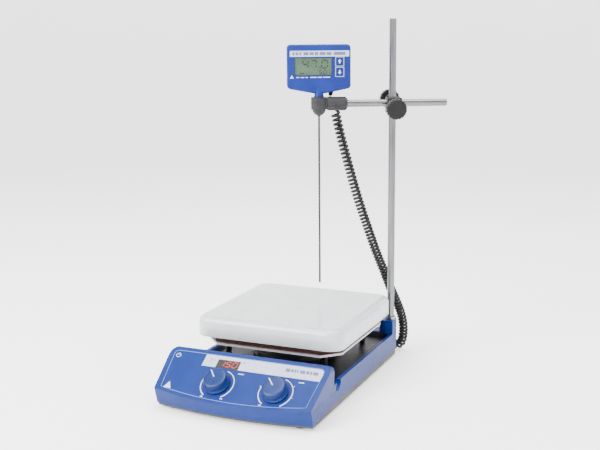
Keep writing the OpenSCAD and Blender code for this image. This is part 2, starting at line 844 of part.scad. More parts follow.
module key_up() {
    color("royalblue") key(36.9);
}

module key_down() {
    color("royalblue") key(22.9);
}

module meter_neck() {
    color("royalblue") at_stand() translate([meter_x, -arm_off, 0]) {
        ring(ring_low + 1.2, ring_high + 0.7, 6, probe_d / 2);
        difference() {
            translate([0, 0, ring_high + 0.6]) neck_cone(0);
            cylinder(h = meter_z - 4, r = probe_d / 2, $fn = 48);
        }
    }
}

module probe() {
    color("silver") at_stand() translate([meter_x, -arm_off, 0]) {
        tip = ring_low - 9 - probe_l;
        translate([0, 0, tip + probe_d / 2]) cylinder(h = meter_z - 4 - tip - probe_d / 2, r = probe_d / 2, $fn = 40);
        translate([0, 0, tip + probe_d / 2]) sphere(r = probe_d / 2, $fn = 40);
    }
}

module cable_gland() {
    color("black") hull() {
        translate([23.8, 105.3, 377.2]) cylinder(h = 0.5, r = 2.6, $fn = 24);
        translate([25.2, 104.2, 382.6]) cylinder(h = 1, r = 3.6, $fn = 24);
    }
}

module cord_stub() {
    color("black") sweep(trimmed(route_stub, gap), cable_d, 8);
}

module cord_top() {
    color("black") sweep(trimmed(route_top, gap), coil_d, 12);
}

module cord_middle() {
    color("black") sweep(trimmed(route_middle, gap), coil_d, 12);
}

module cord_long() {
    color("black") sweep(trimmed(route_long, gap), coil_d, 12);
}

module cord_low() {
    color("black") sweep(trimmed(route_low, gap), coil_d, 12);
}

module cord_plug() {
    color("black") translate([58, back_y + 2, 23.5]) {
        rotate([-90, 0, 0]) {
            translate([0, 0, -10]) cylinder(h = 10.2, r = 6.3, $fn = 48);
            translate([0, 0, 0.2]) cylinder(h = 16, r = 7.6, $fn = 48);
            translate([0, 0, 16.2]) cylinder(h = 1.6, r1 = 7.6, r2 = 6.2, $fn = 48);
        }
        translate([0, 10, 0]) rotate([0, 96, 0]) cylinder(h = 21.6, r1 = 6, r2 = 3.4, $fn = 48);
    }
}

lower_shell();
feet();
bottom_screws();
rating_plate();
housing();
panel_overlay();
display_window();
display_module();
control_board();
heat_potentiometer();
speed_potentiometer();
power_board();
mains_inlet();
fuse_cap();
sensor_socket();
switch_frame();
switch_rocker();
heat_knob();
heat_shaft();
speed_knob();
speed_shaft();
heating_plate();
heater_element();
insulation();
heat_shield();
standoffs();
plate_sensor();
motor_dome();
motor_bracket();
motor_stator();
bearings();
motor_shaft();
motor_rotor();
cooling_fan();
magnet_carrier();
drive_magnets();
rod_nut();
support_rod();
boss_head();
boss_front_screw();
boss_rear_screw();
arm_rod();
clamp_body();
clamp_nut();
meter_front();
meter_back();
meter_lcd();
meter_window();
meter_board();
key_up();
key_down();
meter_neck();
probe();
cable_gland();
cord_stub();
cord_top();
cord_middle();
cord_long();
cord_low();
cord_plug();
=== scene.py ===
"""Looks of a heating magnetic stirrer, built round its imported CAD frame. Lengths are in metres."""
import json
import math

import bmesh
import bpy
from mathutils import Matrix, Vector


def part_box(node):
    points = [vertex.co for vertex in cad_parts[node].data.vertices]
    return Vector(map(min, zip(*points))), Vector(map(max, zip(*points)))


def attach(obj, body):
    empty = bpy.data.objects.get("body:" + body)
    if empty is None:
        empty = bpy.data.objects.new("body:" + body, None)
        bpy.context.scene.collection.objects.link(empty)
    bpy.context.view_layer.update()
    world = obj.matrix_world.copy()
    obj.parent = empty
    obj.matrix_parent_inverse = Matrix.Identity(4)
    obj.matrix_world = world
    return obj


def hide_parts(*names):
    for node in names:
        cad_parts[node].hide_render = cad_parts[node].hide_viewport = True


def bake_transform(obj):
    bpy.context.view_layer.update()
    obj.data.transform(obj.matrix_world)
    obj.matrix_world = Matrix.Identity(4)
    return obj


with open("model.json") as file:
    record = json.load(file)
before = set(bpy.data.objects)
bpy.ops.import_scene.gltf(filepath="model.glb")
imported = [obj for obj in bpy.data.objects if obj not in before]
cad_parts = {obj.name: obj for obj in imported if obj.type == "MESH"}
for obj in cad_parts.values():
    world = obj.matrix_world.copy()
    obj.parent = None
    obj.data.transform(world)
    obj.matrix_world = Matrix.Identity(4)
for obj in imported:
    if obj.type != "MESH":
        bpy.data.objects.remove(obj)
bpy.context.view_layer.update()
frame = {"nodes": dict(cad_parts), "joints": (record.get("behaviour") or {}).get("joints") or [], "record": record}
nodes = frame["nodes"]
joints = {j["name"]: j for j in frame["joints"]}
mm = 0.001


# ---- places taken from the frame ----

def joint_point(name):
    return Vector(joints[name]["pos_m"])


def place(origin, x_axis, y_axis):
    """Matrix of a local frame with the given origin, X and Y directions; Z is out of the surface."""
    x, y = Vector(x_axis).normalized(), Vector(y_axis).normalized()
    z = x.cross(y)
    m = Matrix((x, y, z)).transposed().to_4x4()
    m.translation = origin
    return m


UP = Vector((0, 0, 1))
RIGHT = Vector((1, 0, 0))
ALONG_ARM = Vector(joints["arm_slide"]["axis"])
TO_BACK = Vector(joints["rear_screw_turn"]["axis"])
PANEL_NORMAL = Vector(joints["heat_turn"]["axis"])
UP_PANEL = PANEL_NORMAL.cross(RIGHT)
heat_point = joint_point("heat_turn")
speed_point = joint_point("speed_turn")
meter_axis = joint_point("meter_turn")
plate_low, plate_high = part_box("heating_plate")
plate_centre = (plate_low + plate_high) / 2

# Places on the panel are in mm: x from the centre line, y up the slope.
HEAT_X, SPEED_X, KNOB_UP = -25.5, 53.5, 18.5
PANEL = place(speed_point - (RIGHT * SPEED_X + UP_PANEL * KNOB_UP) * mm, RIGHT, UP_PANEL)

# Places on the thermometer are in mm: x along the arm, y up from the case's lower side corners.
METER_Z, METER_BACK = 387, 6.5
METER = place(Vector((meter_axis.x, meter_axis.y, METER_Z * mm)) + TO_BACK * METER_BACK * mm, ALONG_ARM, UP)


# ---- camera ----

def add_camera():
    azimuth, elevation, roll = (math.radians(a) for a in (23.805, 10.677, -0.503))
    back = Vector((math.sin(azimuth) * math.cos(elevation),
                   -math.cos(azimuth) * math.cos(elevation), math.sin(elevation)))
    right = Vector((math.cos(azimuth), math.sin(azimuth), 0))
    up = back.cross(right)
    turned_right = right * math.cos(roll) + up * math.sin(roll)
    turned_up = up * math.cos(roll) - right * math.sin(roll)
    camera = bpy.data.objects.new("camera", bpy.data.cameras.new("camera"))
    bpy.context.scene.collection.objects.link(camera)
    camera.data.sensor_width = 36
    camera.data.lens = 58.95
    camera.data.clip_start, camera.data.clip_end = 0.05, 20
    m = Matrix((turned_right, turned_up, back)).transposed().to_4x4()
    m.translation = Vector((0.5335, -1.157, 0.4532))
    camera.matrix_world = m
    bpy.context.scene.camera = camera


# ---- mesh helpers ----

def new_piece(name, bm, body, material, replaces=(), smooth=True):
    """Turns a bmesh into a finished piece that rides on a CAD body."""
    mesh = bpy.data.meshes.new(name)
    bmesh.ops.recalc_face_normals(bm, faces=bm.faces)
    for f in bm.faces:
        f.smooth = smooth
    bm.to_mesh(mesh)
    bm.free()
    if smooth:
        mesh.set_sharp_from_angle(angle=math.radians(38))
    mesh.materials.append(material)
    obj = bpy.data.objects.new(name, mesh)
    bpy.context.scene.collection.objects.link(obj)
    if body:
        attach(obj, body)
    if replaces:
        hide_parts(*replaces)
    return obj


def cad_copy(node):
    """The CAD node's shape as a bmesh, with its flat faces whole again."""
    bm = bmesh.new()
    bm.from_mesh(nodes[node].data)
    bmesh.ops.remove_doubles(bm, verts=bm.verts, dist=1e-6)
    bmesh.ops.dissolve_limit(bm, angle_limit=math.radians(0.6), verts=bm.verts, edges=bm.edges)
    return bm


def round_edges(bm, width, chosen, angle):
    """Rounds the edges that are sharper than angle and whose middle is chosen."""
    edges = [e for e in bm.edges
             if len(e.link_faces) == 2 and e.calc_face_angle(0) > math.radians(angle)
             and chosen((e.verts[0].co + e.verts[1].co) / 2)]
    bmesh.ops.bevel(bm, geom=edges, offset=width, segments=3, profile=0.5,
                    affect="EDGES", clamp_overlap=True, miter_outer="ARC")


def softened(node, width, body, material, chosen=lambda middle: True, angle=25):
    """A copy of a CAD node with rounded edges, which stands for the node."""
    bm = cad_copy(node)
    round_edges(bm, width, chosen, angle)
    piece = new_piece(node + "_soft", bm, body, material, (node,))
    piece.modifiers.new("weighted", "WEIGHTED_NORMAL").keep_sharp = True
    return piece


def rounded_outline(half_x, half_y, radius, steps):
    """Points round a rectangle with round corners, anticlockwise."""
    points = []
    for corner, (sx, sy) in enumerate([(1, 1), (-1, 1), (-1, -1), (1, -1)]):
        for i in range(steps + 1):
            a = math.radians(90 * corner + 90 * i / steps)
            points.append((sx * (half_x - radius) + radius * math.cos(a),
                           sy * (half_y - radius) + radius * math.sin(a)))
    return points


def skin(bm, rings, cap_start=True, cap_end=True):
    """Joins equal rings of points with quads, and closes the ends."""
    made = [[bm.verts.new(p) for p in ring] for ring in rings]
    for a, b in zip(made, made[1:]):
        for i in range(len(a)):
            j = (i + 1) % len(a)
            bm.faces.new((a[i], a[j], b[j], b[i]))
    if cap_start:
        bm.faces.new(list(reversed(made[0])))
    if cap_end:
        bm.faces.new(made[-1])
    return made


def lathe(bm, profile, centre, axis, steps=72, wave=lambda angle, index: 0.0):
    """Turns a profile of (radius, height) round an axis; both ends are closed."""
    axis = Vector(axis).normalized()
    side = axis.orthogonal().normalized()
    other = axis.cross(side)
    rings = []
    for index, (r, h) in enumerate(profile):
        ring = []
        for i in range(steps):
            a = 2 * math.pi * i / steps
            reach = r + wave(a, index)
            ring.append(Vector(centre) + axis * h + (side * math.cos(a) + other * math.sin(a)) * reach)
        rings.append(ring)
    skin(bm, rings)


def print_on(name, outlines, where, body, material, height=0.06 * mm, lift=0.02 * mm):
    """Printed marks: flat outlines in the local plane, in mm, given a very small thickness."""
    bm = bmesh.new()
    for outline in outlines:
        low = [bm.verts.new(where @ Vector((x * mm, y * mm, lift))) for x, y in outline]
        high = [bm.verts.new(where @ Vector((x * mm, y * mm, lift + height))) for x, y in outline]
        bm.faces.new(list(reversed(low)))
        bm.faces.new(high)
        for i in range(len(outline)):
            j = (i + 1) % len(outline)
            bm.faces.new((low[i], low[j], high[j], high[i]))
    return new_piece(name, bm, body, material, smooth=False)


def bar(x0, y0, x1, y1):
    return [(x0, y0), (x1, y0), (x1, y1), (x0, y1)]


def stroke(x0, y0, x1, y1, width):
    """A straight line of some width."""
    d = Vector((x1 - x0, y1 - y0)).normalized() * width / 2
    return [(x0 - d.y, y0 + d.x), (x0 + d.y, y0 - d.x), (x1 + d.y, y1 - d.x), (x1 - d.y, y1 + d.x)]


def arc_band(cx, cy, radius, start, end, width_start, width_end, steps=40):
    """A curved line whose width changes along it; angles are in degrees, clockwise from the top."""
    inner, outer = [], []
    for i in range(steps + 1):
        t = i / steps
        a = math.radians(90 - (start + (end - start) * t))
        half = (width_start + (width_end - width_start) * t) / 2
        outer.append((cx + (radius + half) * math.cos(a), cy + (radius + half) * math.sin(a)))
        inner.append((cx + (radius - half) * math.cos(a), cy + (radius - half) * math.sin(a)))
    return outer + inner[::-1]


SEGMENTS = {"0": "abcdef", "1": "bc", "4": "fgbc", "5": "afgcd", "7": "abc"}


def seven_segments(text, x, y, height, pitch, line, slant):
    """Outlines of a row of seven-segment figures; x, y is the lower left corner of the first."""
    outlines = []
    width = pitch * 0.68
    half = height / 2
    g = line * 0.62
    ends = {"a": (g, height, width - g, height), "b": (width, half + g, width, height - g),
            "c": (width, g, width, half - g), "d": (g, 0, width - g, 0), "e": (0, g, 0, half - g),
            "f": (0, half + g, 0, height - g), "g": (g, half, width - g, half)}
    for column, figure in enumerate(text):
        for s in SEGMENTS.get(figure, ""):
            x0, y0, x1, y1 = ends[s]
            quad = stroke(x0, y0, x1, y1, line)
            left = x + column * pitch
            outlines.append([(left + px + slant * py, y + py) for px, py in quad])
    return outlines


# ---- materials ----

DEEPEN = 0.7


def linear(colour, scale=DEEPEN):
    """Linear colour from 0-255 screen values, deepened for the bright studio."""
    out = []
    for c in colour:
        c = c / 255
        out.append(scale * (c / 12.92 if c <= 0.04045 else ((c + 0.055) / 1.055) ** 2.4))
    return (*out, 1)


class Finish:
    """A node material with colour, roughness and bump that vary over the surface."""

    def __init__(self, name, rough, metal=0.0, coat=0.0, coat_rough=0.1, specular=0.5):
        self.material = bpy.data.materials.new(name)
        self.material.use_nodes = True
        self.tree = self.material.node_tree
        self.tree.nodes.clear()
        self.output = self.node("ShaderNodeOutputMaterial")
        self.shader = self.node("ShaderNodeBsdfPrincipled")
        self.link(self.shader.outputs[0], self.output.inputs["Surface"])
        self.shader.inputs["Metallic"].default_value = metal
        self.shader.inputs["Roughness"].default_value = rough
        self.shader.inputs["Coat Weight"].default_value = coat
        self.shader.inputs["Coat Roughness"].default_value = coat_rough
        self.shader.inputs["Specular IOR Level"].default_value = specular
        self.space = self.node("ShaderNodeTexCoord").outputs["Object"]
        self.normal = None

    def node(self, kind, **values):
        n = self.tree.nodes.new(kind)
        for k, v in values.items():
            n.inputs[k].default_value = v
        return n

    def link(self, a, b):
        self.tree.links.new(a, b)

    def noise(self, scale, detail=3.0, rough=0.5, stretch=None):
        """Noise of about 1 / scale metres, stretched by per-axis factors."""
        source = self.space
        if stretch:
            mapping = self.node("ShaderNodeMapping")
            mapping.inputs["Scale"].default_value = stretch
            self.link(source, mapping.inputs["Vector"])
            source = mapping.outputs[0]
        n = self.node("ShaderNodeTexNoise", Scale=scale, Detail=detail, Roughness=rough)
        self.link(source, n.inputs["Vector"])
        return n.outputs["Fac"]

    def ramp(self, source, stops):
        n = self.node("ShaderNodeValToRGB")
        elements = n.color_ramp.elements
        while len(elements) < len(stops):
            elements.new(0.5)
        for e, (at, colour) in zip(elements, stops):
            e.position = at
            e.color = colour
        self.link(source, n.inputs["Fac"])
        return n.outputs["Color"]

    def colour(self, first, second, source, low=0.35, high=0.65):
        """Colour between two tints, by a noise."""
        mixed = self.ramp(source, [(low, linear(first)), (high, linear(second))])
        self.link(mixed, self.shader.inputs["Base Color"])
        return mixed

    def roughness(self, low, high, source):
        n = self.node("ShaderNodeMapRange")
        n.inputs["To Min"].default_value = low
        n.inputs["To Max"].default_value = high
        self.link(source, n.inputs["Value"])
        self.link(n.outputs[0], self.shader.inputs["Roughness"])

    def bump(self, source, depth, strength=1.0):
        n = self.node("ShaderNodeBump", Strength=strength, Distance=depth)
        self.link(source, n.inputs["Height"])
        if self.normal:
            self.link(self.normal, n.inputs["Normal"])
        self.normal = n.outputs[0]
        self.link(self.normal, self.shader.inputs["Normal"])


# The reach along X, Y and Z, in metres, of the sunk deck under the plate, where painted shade darkens the blue to
# navy.
DECK_SHADE_LIMITS = ((-0.1, 0.1), (-0.093, 0.146), (0.02, 0.0362))


def blue_paint():
    """Glossy blue, with painted shade: the sunk deck under the plate is coloured dark navy to stand in for its
    shadow.
    """
    f = Finish("blue_paint", 0.4, specular=0.22)
    paint = f.ramp(f.noise(28), [(0.35, linear((8, 42, 116))), (0.65, linear((11, 48, 126)))])
    # painted shade: a dark navy that stands for the shadow on the deck under the plate
    painted_deck_shade = f.ramp(f.noise(60), [(0.35, linear((5, 9, 26))), (0.65, linear((8, 12, 32)))])
    split = f.node("ShaderNodeSeparateXYZ")
    f.link(f.space, split.inputs[0])
    in_painted_shade = None
    for axis, (low, high) in enumerate(DECK_SHADE_LIMITS):
        for operation, limit in (("GREATER_THAN", low), ("LESS_THAN", high)):
            test = f.node("ShaderNodeMath")
            test.operation = operation
            f.link(split.outputs[axis], test.inputs[0])
            test.inputs[1].default_value = limit
            if in_painted_shade is None:
                in_painted_shade = test.outputs[0]
                continue
            both = f.node("ShaderNodeMath")
            both.operation = "MULTIPLY"
            f.link(in_painted_shade, both.inputs[0])
            f.link(test.outputs[0], both.inputs[1])
            in_painted_shade = both.outputs[0]
    # mixes in the painted shade wherever the point lies inside the deck's box
    mix = f.node("ShaderNodeMix")
    mix.data_type = "RGBA"
    f.link(in_painted_shade, mix.inputs["Factor"])
    f.link(paint, mix.inputs[6])
    f.link(painted_deck_shade, mix.inputs[7])
    f.link(mix.outputs[2], f.shader.inputs["Base Color"])
    f.roughness(0.34, 0.5, f.noise(140))
    f.bump(f.noise(2600, 2), 0.03 * mm, 0.35)
    return f.material


def blue_film():
    f = Finish("blue_film", 0.42, specular=0.2)
    f.colour((9, 42, 118), (11, 47, 127), f.noise(35))
    f.roughness(0.36, 0.5, f.noise(220))
    f.bump(f.noise(3800, 2), 0.015 * mm, 0.4)
    return f.material


def blue_plastic():
    f = Finish("blue_plastic", 0.4, specular=0.22)
    f.colour((10, 38, 122), (13, 44, 134), f.noise(40))
    f.roughness(0.34, 0.48, f.noise(180))
    f.bump(f.noise(3000, 2), 0.02 * mm, 0.5)
    return f.material


def blue_knob():
    f = Finish("blue_knob", 0.3, specular=0.35)
    f.colour((5, 38, 100), (8, 45, 112), f.noise(60))
    f.roughness(0.24, 0.36, f.noise(300))
    f.bump(f.noise(2400, 2), 0.015 * mm, 0.4)
    return f.material


def grey_plastic():
    f = Finish("grey_plastic", 0.5)
    f.colour((50, 50, 54), (62, 62, 66), f.noise(50))
    f.roughness(0.45, 0.6, f.noise(250))
    f.bump(f.noise(2200, 3), 0.05 * mm, 0.6)
    return f.material


def white_ceramic():
    f = Finish("white_ceramic", 0.24, coat=0.5, coat_rough=0.08)
    f.colour((214, 219, 224), (224, 228, 232), f.noise(22))
    f.roughness(0.2, 0.32, f.noise(90))
    f.bump(f.noise(260, 4), 0.05 * mm, 0.25)
    return f.material


def steel(name="steel", low=0.12, high=0.22, grain=(1, 1, 0.03), tint=((176, 176, 178), (204, 204, 206))):
    f = Finish(name, 0.16, metal=1.0)
    grind = f.noise(900, 3, stretch=grain)
    f.colour(*tint, grind)
    f.roughness(low, high, grind)
    f.bump(grind, 0.01 * mm, 0.3)
    return f.material


def dark_metal():
    f = Finish("dark_metal", 0.5, specular=0.3)
    f.colour((34, 34, 37), (48, 48, 52), f.noise(120))
    f.roughness(0.42, 0.6, f.noise(400))
    f.bump(f.noise(900, 4, 0.6), 0.12 * mm, 0.6)
    return f.material


def black_plastic():
    f = Finish("black_plastic", 0.42, specular=0.25)
    f.colour((13, 13, 14), (21, 21, 22), f.noise(80))
    f.roughness(0.35, 0.52, f.noise(300))
    f.bump(f.noise(1800, 3), 0.05 * mm, 0.5)
    return f.material


def black_cable():
    f = Finish("black_cable", 0.38, specular=0.3)
    f.colour((8, 8, 9), (15, 15, 16), f.noise(120))
    f.roughness(0.3, 0.46, f.noise(500))
    f.bump(f.noise(1500, 3), 0.03 * mm, 0.4)
    return f.material


def rubber():
    f = Finish("foot_rubber", 0.8)
    f.colour((36, 36, 37), (46, 46, 47), f.noise(150))
    f.roughness(0.7, 0.9, f.noise(400))
    f.bump(f.noise(1600, 4), 0.1 * mm, 0.6)
    return f.material


def insulation_board():
    f = Finish("insulation", 0.6)
    f.colour((70, 30, 26), (96, 44, 38), f.noise(140, 4))
    f.roughness(0.5, 0.75, f.noise(300))
    f.bump(f.noise(1100, 4), 0.2 * mm, 0.6)
    return f.material


def simple(name, first, second, rough, metal=0.0, scale=200, depth=0.03 * mm):
    """A plain material for small or inner pieces, still with its grain."""
    f = Finish(name, rough, metal)
    f.colour(first, second, f.noise(scale))
    f.roughness(max(rough - 0.08, 0.05), min(rough + 0.1, 1), f.noise(scale * 2))
    f.bump(f.noise(scale * 6, 3), depth, 0.5)
    return f.material


def printed_white():
    f = Finish("white_print", 0.45)
    f.colour((214, 220, 238), (226, 231, 244), f.noise(300))
    f.roughness(0.4, 0.55, f.noise(600))
    f.bump(f.noise(4000, 2), 0.01 * mm, 0.4)
    return f.material


def lit_red():
    f = Finish("red_digits", 0.4)
    glow = f.colour((200, 20, 24), (236, 40, 40), f.noise(900))
    f.link(glow, f.shader.inputs["Emission Color"])
    f.shader.inputs["Emission Strength"].default_value = 0.3
    return f.material


def clear_window():
    f = Finish("clear_window", 0.06, coat=0.0)
    f.colour((236, 242, 238), (244, 248, 245), f.noise(60))
    f.shader.inputs["Transmission Weight"].default_value = 1.0
    f.shader.inputs["IOR"].default_value = 1.1
    f.roughness(0.03, 0.09, f.noise(300))
    return f.material


BLUE = blue_paint()
FILM = blue_film()
BLUE_PLASTIC = blue_plastic()
KNOB = blue_knob()
GREY = grey_plastic()
CERAMIC = white_ceramic()
STEEL = steel()
ROD_STEEL = steel("rod_steel", 0.14, 0.24, (1, 1, 0.03), ((120, 121, 124), (142, 143, 146)))
PROBE_STEEL = steel("probe_steel", 0.25, 0.35, (1, 1, 0.03), ((78, 79, 82), (92, 93, 96)))
ZINC = steel("zinc", 0.3, 0.45, (1, 1, 1), ((150, 152, 158), (178, 180, 186)))
DARK = dark_metal()
BLACK = black_plastic()
CABLE = black_cable()
RUBBER = rubber()
BOARD_INSULATION = insulation_board()
WHITE = printed_white()
RED = lit_red()
WINDOW = clear_window()
TINTED = simple("tinted_window", (3, 2, 2), (5, 3, 3), 0.45, scale=60, depth=0.005 * mm)
LCD = simple("lcd", (138, 170, 142), (150, 180, 150), 0.35, scale=90, depth=0.01 * mm)
LCD_INK = simple("lcd_ink", (30, 44, 36), (40, 54, 46), 0.4, scale=400)
CIRCUIT = simple("circuit_board", (22, 84, 48), (30, 96, 56), 0.45)
COPPER = simple("copper", (170, 104, 66), (196, 124, 80), 0.35, metal=1.0, scale=700)
MAGNET = simple("magnet", (120, 120, 126), (146, 146, 150), 0.3, metal=1.0)
FOIL = simple("heater_foil", (110, 58, 48), (134, 74, 58), 0.45)
STRIP = simple("white_strip", (198, 205, 230), (206, 213, 236), 0.5, scale=300, depth=0.01 * mm)
# painted highlight: a light blue for the rim bead, standing for the light caught by the panel's edge
RIM_HIGHLIGHT = simple("panel_rim", (84, 122, 196), (100, 138, 206), 0.35, scale=300, depth=0.01 * mm)
INK = simple("grey_ink", (84, 92, 128), (98, 106, 140), 0.5, scale=400, depth=0.01 * mm)
RED_INK = simple("red_ink", (190, 96, 110), (200, 110, 122), 0.5, scale=400, depth=0.01 * mm)
LABEL = simple("label_silver", (176, 178, 182), (190, 192, 196), 0.4, metal=0.6)

SLOT_LOOKS = {
    "blue_paint": BLUE, "blue_plastic": BLUE_PLASTIC, "blue_knob": KNOB, "blue_film": FILM,
    "grey_plastic": GREY, "dark_metal": DARK, "black_plastic": BLACK, "black_cable": CABLE,
    "foot_rubber": RUBBER, "steel": STEEL, "zinc": ZINC, "white_ceramic": CERAMIC,
    "heater_foil": FOIL, "insulation": BOARD_INSULATION, "board": CIRCUIT, "copper": COPPER,
    "magnet": MAGNET, "display_black": TINTED, "lcd": LCD, "clear_window": WINDOW,
    "label_silver": LABEL,
}


TRAY = simple("tray_lip", (196, 190, 194), (214, 208, 212), 0.4, metal=0.3, scale=150)
NODE_LOOKS = {"standoffs": BLACK, "heat_shield": TRAY, "rod_nut": ZINC, "support_rod": ROD_STEEL,
              "arm_rod": ROD_STEEL, "probe": PROBE_STEEL}


def dress_cad_nodes():
    """Gives every CAD node the look of its material slot."""
    slots = {s["node"]: s["material_slot"] for s in frame["record"]["subparts"]}
    for name, obj in nodes.items():
        obj.data.materials.clear()
        obj.data.materials.append(NODE_LOOKS.get(name) or SLOT_LOOKS[slots[name]])


# ---- curly cord ----

ROUTE_LOW = [(80.4, 177, 21.1), (84.5, 177.4, 19), (89, 178.6, 12.5), (95, 180, 8.8), (102, 181, 9.4),
             (106.5, 181, 15.5), (108, 181, 24.5), (108.5, 181, 34), (107.5, 180, 46), (104.5, 178, 60),
             (99.5, 174, 76), (94.5, 170, 90), (91, 166.5, 101), (88, 163, 112), (84, 159.5, 125)]
ROUTE_LONG = [(74, 153, 155), (66, 148, 182), (57, 143, 212), (49, 138, 242), (42, 133, 272)]
ROUTE_MIDDLE = [(37.3, 130.5, 292), (32.5, 128, 312), (28.6, 126, 330)]
ROUTE_TOP = [(26.5, 125, 340), (24.3, 123, 352)]
ROUTE_STUB = [(24.3, 123, 352), (23.6, 121.5, 359), (22.8, 117.5, 365.5), (22.6, 112, 369.5),
              (23.2, 107.9, 372.6), (23.7, 105.9, 374.5), (23.8, 105.4, 376.2)]
CABLE_D = 4 * mm
COIL_R = 5.2 * mm
PITCH_LOW = 4.8 * mm
PITCH_TOP = 6.3 * mm
LEAD_IN = 14 * mm


def smooth_line(points, step):
    """A curve through the points, as points about one step apart."""
    p = [Vector(q) for q in points]
    p = [2 * p[0] - p[1], *p, 2 * p[-1] - p[-2]]
    line = []
    for a, b, c, d in zip(p, p[1:], p[2:], p[3:]):
        count = max(2, round((c - b).length / step))
        for i in range(count):
            t = i / count
            line.append(0.5 * (2 * b + (c - a) * t + (2 * a - 5 * b + 4 * c - d) * t * t
                               + (3 * b - a - 3 * c + d) * t ** 3))
    return [*line, p[-2]]


def carried_frames(line):
    """A side direction at each point, carried along the line without twisting."""
    sides = []
    side = UP.orthogonal()
    for i in range(len(line)):
        way = (line[min(i + 1, len(line) - 1)] - line[max(i - 1, 0)]).normalized()
        side = (side - way * side.dot(way)).normalized()
        sides.append((way, side, way.cross(side)))
    return sides


def tube(name, line, diameter, sides, material):
    """A round tube along a line of points, which rides on no body by itself."""
    bm = bmesh.new()
    rings = []
    for p, (_, side, other) in zip(line, carried_frames(line)):
        rings.append([p + (side * math.cos(a) + other * math.sin(a)) * diameter / 2
                      for a in (2 * math.pi * k / sides for k in range(sides))])
    skin(bm, rings)
    return new_piece(name, bm, None, material)


def line_length(line):
    return sum((b - a).length for a, b in zip(line, line[1:]))


def coil(line):
    """The wound cable round a centre line: one point for each point of the line."""
    total = line_length(line)
    turned, gone, spots = 0.0, 0.0, []
    for i, (p, (_, side, other)) in enumerate(zip(line, carried_frames(line))):
        if i:
            step = (p - line[i - 1]).length
            gone += step
            opened = max(0.0, 2 * gone / total - 1)
            turned += 2 * math.pi * step / (PITCH_LOW + (PITCH_TOP - PITCH_LOW) * opened)
        reach = COIL_R * min(1.0, gone / LEAD_IN)
        spots.append(p + (side * math.cos(turned) + other * math.sin(turned)) * reach)
    return spots


def nearest(line, point):
    return min(range(len(line)), key=lambda i: (line[i] - point).length)


def add_cords():
    route = [Vector(p) * mm for p in ROUTE_LOW + ROUTE_LONG + ROUTE_MIDDLE + ROUTE_TOP]
    line = smooth_line(route, 0.42 * mm)
    wound = coil(line)
    cuts = [nearest(line, Vector(r[-1]) * mm) for r in (ROUTE_LOW, ROUTE_LONG, ROUTE_MIDDLE, ROUTE_TOP)]
    runs = [wound[a:b + 1] for a, b in zip([0, *cuts], cuts)]
    stub_route = [Vector(p) * mm for p in ROUTE_STUB]
    stub_route[0] = runs[-1][-1]
    runs.append(smooth_line(stub_route, 1 * mm))
    names = ["cord_low", "cord_long", "cord_middle", "cord_top", "cord_stub"]
    bodies = ["base", "rod", "boss", "arm", "clamp", "meter"]
    for name, run, first, second in zip(names, runs, bodies, bodies[1:]):
        piece = tube(name + "_cable", run, CABLE_D, 12, CABLE)
        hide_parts(name)
        low, high = run[0], run[-1]
        if name == "cord_low":
            low = Vector((high.x, high.y, 0.03))
        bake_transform(piece)


# ---- stage ----

def add_area(name, place_at, aim, size, energy, colour=(1, 1, 1)):
    light = bpy.data.lights.new(name, "AREA")
    light.shape = "RECTANGLE"
    light.size, light.size_y = size
    light.energy = energy
    light.color = colour
    lamp = bpy.data.objects.new(name, light)
    bpy.context.scene.collection.objects.link(lamp)
    lamp.location = place_at
    lamp.rotation_mode = "QUATERNION"
    lamp.rotation_quaternion = (Vector(aim) - Vector(place_at)).to_track_quat("-Z", "Y")


def add_stage():
    """A pale floor that curves up into a wall all round, and three soft lamps."""
    f = Finish("pale_floor", 0.7)
    f.link(f.ramp(f.noise(3), [(0.3, linear((252, 252, 252), 1)), (0.7, linear((255, 255, 255), 1))]),
           f.shader.inputs["Base Color"])
    f.bump(f.noise(60, 3), 0.1 * mm, 0.1)
    f.shader.inputs["Emission Color"].default_value = (1, 1, 1, 1)
    f.shader.inputs["Emission Strength"].default_value = 0.75
    flat, turn, wall_top = 3.4, 1.0, 2.6
    bm = bmesh.new()
    profile = [(0.4, 0), (flat, 0)]
    profile += [(flat + turn * math.sin(a), turn * (1 - math.cos(a)))
                for a in (math.pi / 2 * k / 12 for k in range(1, 13))]
    profile.append((flat + turn, wall_top))
    rings = [[Vector((r * math.cos(a), r * math.sin(a), z)) for a in (math.pi * k / 48 for k in range(96))]
             for r, z in profile]
    skin(bm, rings, True, False)
    floor = new_piece("floor", bm, None, f.material)
    floor.location.z = -0.2 * mm
    world = bpy.data.worlds.new("studio")
    bpy.context.scene.world = world
    world.use_nodes = True
    world.node_tree.nodes["Background"].inputs["Color"].default_value = (1, 1, 1, 1)
    world.node_tree.nodes["Background"].inputs["Strength"].default_value = 0.9
    add_area("key", (-0.9, -1.3, 1.5), (0, 0, 0.15), (1.2, 1.2), 85)
    add_area("top", (0.1, 0.1, 1.9), (0, 0.1, 0), (1.6, 1.6), 70)
    add_area("side", (1.6, -0.4, 0.8), (0, 0, 0.15), (0.7, 1.0), 3)


# ---- base and panel ----

HALF_W, FRONT_Y, FRONT_BOW, FRONT_LEAN = 106.5, -165, 11, 8 / 28
FILM_INSET = 5.0
CORNER_X, CORNER_UP, CORNER_R, SIDE_LEAN = 98, 56, 6, 0.09
ON_FILM, ON_STRIP, ON_WINDOW = -0.19 * mm, -0.12 * mm, -0.05 * mm


def add_base():
    softened("housing", 1.6 * mm, "base", BLUE, chosen=lambda p: p.z > 20 * mm, angle=40)


